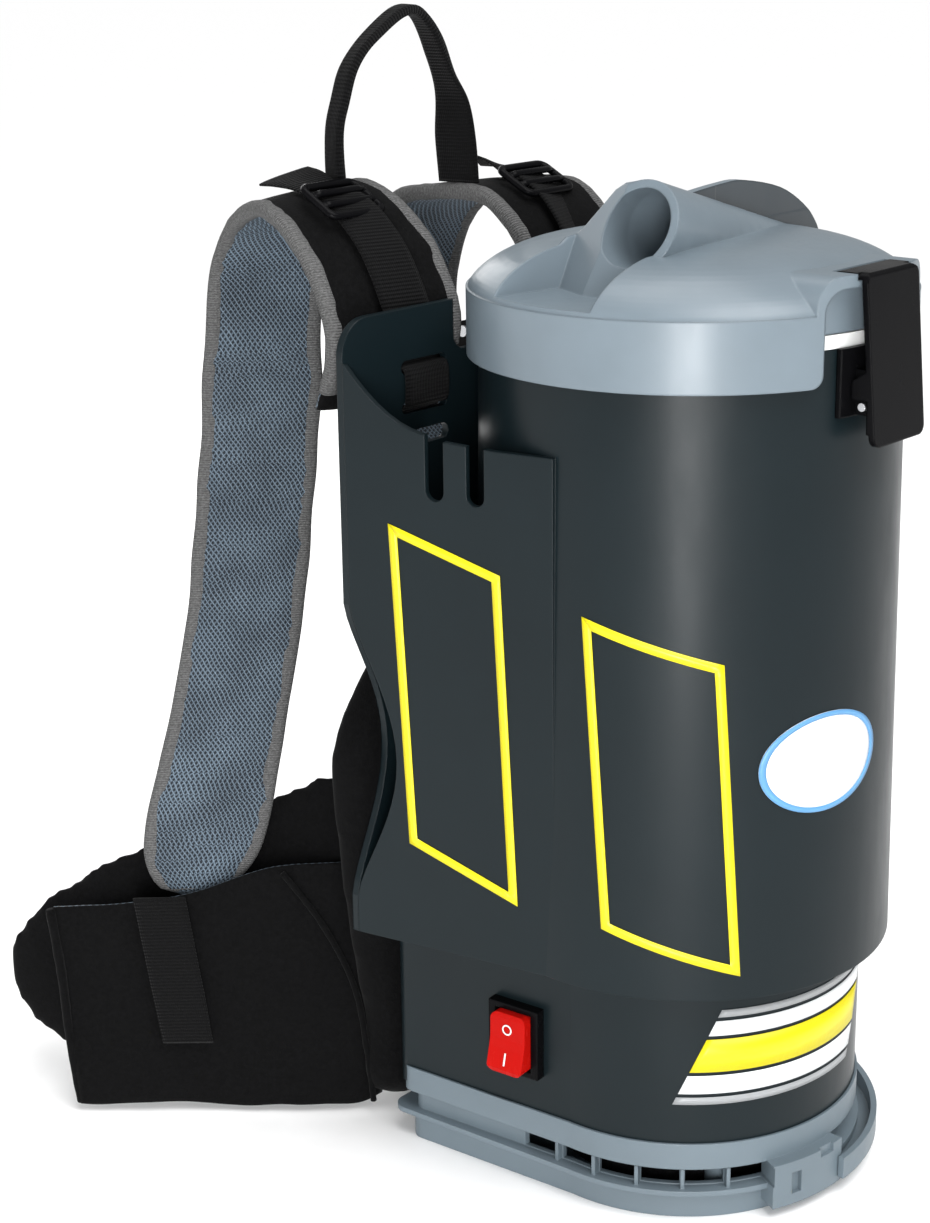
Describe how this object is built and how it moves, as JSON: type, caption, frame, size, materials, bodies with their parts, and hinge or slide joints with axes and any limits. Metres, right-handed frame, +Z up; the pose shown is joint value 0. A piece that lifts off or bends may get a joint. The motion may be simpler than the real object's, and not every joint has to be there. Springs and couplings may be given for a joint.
{
  "type": "backpack vacuum cleaner",
  "caption": "Backpack vacuum: canister with hinged lid and hose socket on a motor housing, carried on a padded shoulder and waist harness.",
  "frame": {"origin": "centre of the canister's axis on the flat underside of the base", "axes": "+Z up along the canister; -Y is the side with the lid latch; +Y points to the wearer's back pad; -X is the side with the switch and the hose socket's mouth"},
  "size_m": [0.4162, 0.4386, 0.59],
  "materials": {
    "body": "fine grain, satin",
    "lid": "satin gloss",
    "base_grey": "satin",
    "black_plastic": "satin",
    "collar": "plain white",
    "switch_red": "gloss",
    "rubber": "matt",
    "steel": "brushed",
    "aluminium": "cast",
    "copper": "enamelled winding",
    "filter_cloth": "non-woven cloth",
    "carbon_filter": "non-woven carbon cloth",
    "black_fabric": "woven nylon, matt",
    "mesh_fabric": "spacer mesh"
  },
  "bodies": {
    "housing": {"body_shell": "body", "back_plate": "body", "motor_housing": "body", "base_ring": "base_grey", "exhaust_filter": "carbon_filter", "intake_grille": "body", "fan_housing": "aluminium", "motor_gasket": "rubber", "motor_mount": "rubber", "motor_can": "steel", "stator": "copper", "motor_bearings": "steel", "filter_cage": "black_plastic", "cloth_filter": "filter_cloth", "filter_collar": "collar", "switch_bezel": "black_plastic", "switch_body": "black_plastic", "latch_bracket": "black_plastic", "latch_keeper_pin": "steel", "hinge_bracket": "black_plastic", "hinge_pin": "steel", "plate_screws": "steel", "housing_screws": "steel", "base_screws": "steel", "hinge_screws": "steel", "cord_gland": "rubber", "lumbar_pad": "black_fabric", "hip_pad_left": "black_fabric", "hip_pad_right": "black_fabric", "belt_panel_left": "black_fabric", "belt_panel_right": "black_fabric", "belt_webbing_left": "black_fabric", "belt_webbing_right": "black_fabric", "strap_left": "mesh_fabric", "strap_right": "mesh_fabric", "anchor_webbing_left": "black_fabric", "anchor_webbing_right": "black_fabric", "strap_buckle_left": "black_plastic", "strap_buckle_right": "black_plastic", "strap_tail_left": "black_fabric", "strap_tail_right": "black_fabric", "carry_handle": "black_fabric"},
    "lid": {"lid": "lid", "lid_seal": "rubber", "inlet_seal": "rubber", "latch_pin": "steel"},
    "latch": {"latch_lever": "black_plastic"},
    "rocker": {"rocker": "switch_red"},
    "rotor": {"motor_shaft": "steel", "armature": "copper", "impeller": "aluminium"}
  },
  "joints": [
    {"name": "lid_hinge", "type": "hinge", "parent": "housing", "child": "lid", "pos_m": [0, 0.1215, 0.43], "axis": [-1, 0, 0], "range_deg": [0, 35]},
    {"name": "latch_hinge", "type": "hinge", "parent": "lid", "child": "latch", "pos_m": [0, -0.0975, 0.4771], "axis": [-1, 0, 0], "range_deg": [0, 90]},
    {"name": "rocker_hinge", "type": "hinge", "parent": "housing", "child": "rocker", "pos_m": [-0.09846, 0.03071, 0.08375], "axis": [0.0957, -0.9954, 0], "range_deg": [0, 16]},
    {"name": "rotor_spin", "type": "hinge", "parent": "housing", "child": "rotor", "pos_m": [0, 0, 0.08], "axis": [0, 0, 1], "continuous": true}
  ]
}
